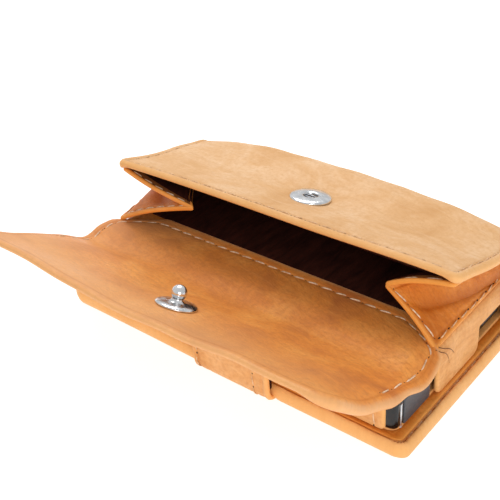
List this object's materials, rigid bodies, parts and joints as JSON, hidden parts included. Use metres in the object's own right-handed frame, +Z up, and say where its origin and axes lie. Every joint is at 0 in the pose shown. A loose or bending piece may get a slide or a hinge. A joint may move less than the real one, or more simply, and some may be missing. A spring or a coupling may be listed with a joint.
{
  "type": "leather device case",
  "caption": "Leather case for a slim pocket device, lying on its padded front cover, with a hard tray holder, closure strap and open gusseted coin pocket with a snap flap.",
  "frame": {"origin": "centre of the front cover's underside, on the surface that the case lies on", "axes": "+X along the pocket mouth, the long way; +Y from the flap and closure strap towards the spine; +Z up, from the front cover towards the pocket"},
  "size_m": [0.114, 0.0942, 0.0374],
  "materials": {
    "pale_tan_leather": "smooth semi-aniline leather, light honey tan, satin",
    "tan_leather": "waxed pull-up leather, orange tan, satin with mottling",
    "dark_lining": "close woven dark brown lining cloth, matte",
    "board": "pressed grey-brown board, matte",
    "foam": "thin closed-cell foam sheet, matte",
    "magnet": "nickel-plated, satin",
    "bright_metal": "nickel-plated and polished",
    "black_shell": "glossy black moulding",
    "grey_shell": "dark grey satin moulding"
  },
  "bodies": {
    "front_cover": {"cover_outer_leather": "pale_tan_leather", "cover_padding": "foam", "cover_board": "board", "cover_facing": "tan_leather", "strap_sewn_end": "tan_leather"},
    "spine": {"spine_leather": "pale_tan_leather", "spine_lining": "dark_lining"},
    "holder": {"holder_face_frame": "tan_leather", "holder_front_wall": "tan_leather", "holder_rear_wall": "tan_leather", "holder_left_wall": "tan_leather", "holder_right_wall": "tan_leather", "holder_board": "board", "holder_back_leather": "tan_leather", "strap_keeper_plate": "magnet", "inner_tray": "black_shell", "tray_end_plate_front": "grey_shell", "tray_end_plate_middle": "grey_shell", "tray_end_plate_rear": "grey_shell", "tray_edge_strip": "bright_metal", "pocket_board": "board", "pocket_back_leather": "tan_leather", "pocket_back_lining": "dark_lining"},
    "pocket_panel": {"panel_leather": "pale_tan_leather", "panel_lining": "dark_lining", "snap_socket": "bright_metal", "snap_spring": "bright_metal", "snap_washer": "bright_metal"},
    "gusset_right_lower": {"gusset_right_lower": "tan_leather"},
    "gusset_right_upper": {"gusset_right_upper": "tan_leather"},
    "gusset_left_lower": {"gusset_left_lower": "tan_leather"},
    "gusset_left_upper": {"gusset_left_upper": "tan_leather"},
    "flap_root": {"flap_root": "tan_leather"},
    "flap": {"flap_inner_leather": "tan_leather", "flap_outer_leather": "pale_tan_leather", "snap_stud": "bright_metal", "snap_stud_cap": "bright_metal"},
    "closure_strap": {"strap_outer_leather": "tan_leather", "strap_magnet": "magnet", "strap_lining": "dark_lining"}
  },
  "joints": [
    {"name": "spine_fold", "type": "hinge", "parent": "front_cover", "child": "spine", "pos_m": [0, 0.0362, 0.0008], "axis": [-1, 0, 0], "range_deg": [0, 90]},
    {"name": "holder_fold", "type": "hinge", "parent": "spine", "child": "holder", "pos_m": [0, 0.0362, 0.0168], "axis": [-1, 0, 0], "range_deg": [0, 90]},
    {"name": "strap_bend", "type": "hinge", "parent": "front_cover", "child": "closure_strap", "pos_m": [0.0065, -0.0371, 0.0018], "axis": [1, 0, 0], "range_deg": [0, 98]},
    {"name": "flap_root_fold", "type": "hinge", "parent": "holder", "child": "flap_root", "pos_m": [0, -0.0144, 0.0196], "axis": [-1, 0, 0], "range_deg": [0, 106]},
    {"name": "flap_crease", "type": "hinge", "parent": "flap_root", "child": "flap", "pos_m": [0, -0.0243, 0.0191], "axis": [-1, 0, 0], "range_deg": [0, 44]},
    {"name": "pocket_mouth", "type": "hinge", "parent": "holder", "child": "pocket_panel", "pos_m": [0, 0.0335, 0.02], "axis": [1, 0, 0], "range_deg": [0, 12.5]},
    {"name": "gusset_right_lower_fold", "type": "hinge", "parent": "holder", "child": "gusset_right_lower", "pos_m": [0.0535, 0, 0.0203], "axis": [0, -1, 0], "range_deg": [0, 20.1]},
    {"name": "gusset_left_lower_fold", "type": "hinge", "parent": "holder", "child": "gusset_left_lower", "pos_m": [-0.0535, 0, 0.0203], "axis": [0, 1, 0], "range_deg": [0, 20.1]},
    {"name": "gusset_right_upper_fold", "type": "hinge", "parent": "pocket_panel", "child": "gusset_right_upper", "pos_m": [0.0547, -0.008, 0.0332], "axis": [0, 0.9604, -0.2785], "range_deg": [0, 4.5]},
    {"name": "gusset_left_upper_fold", "type": "hinge", "parent": "pocket_panel", "child": "gusset_left_upper", "pos_m": [-0.0547, -0.008, 0.0332], "axis": [0, -0.9604, 0.2785], "range_deg": [0, 4.5]}
  ],
  "couplings": [
    {"joint": "holder_fold", "follows": "spine_fold", "ratio": 1},
    {"joint": "flap_crease", "follows": "flap_root_fold", "ratio": 0.41509},
    {"joint": "pocket_mouth", "follows": "flap_root_fold", "ratio": 0.11792},
    {"joint": "gusset_right_lower_fold", "follows": "flap_root_fold", "ratio": 0.18962},
    {"joint": "gusset_left_lower_fold", "follows": "flap_root_fold", "ratio": 0.18962},
    {"joint": "gusset_right_upper_fold", "follows": "flap_root_fold", "ratio": 0.042452},
    {"joint": "gusset_left_upper_fold", "follows": "flap_root_fold", "ratio": 0.042452}
  ]
}
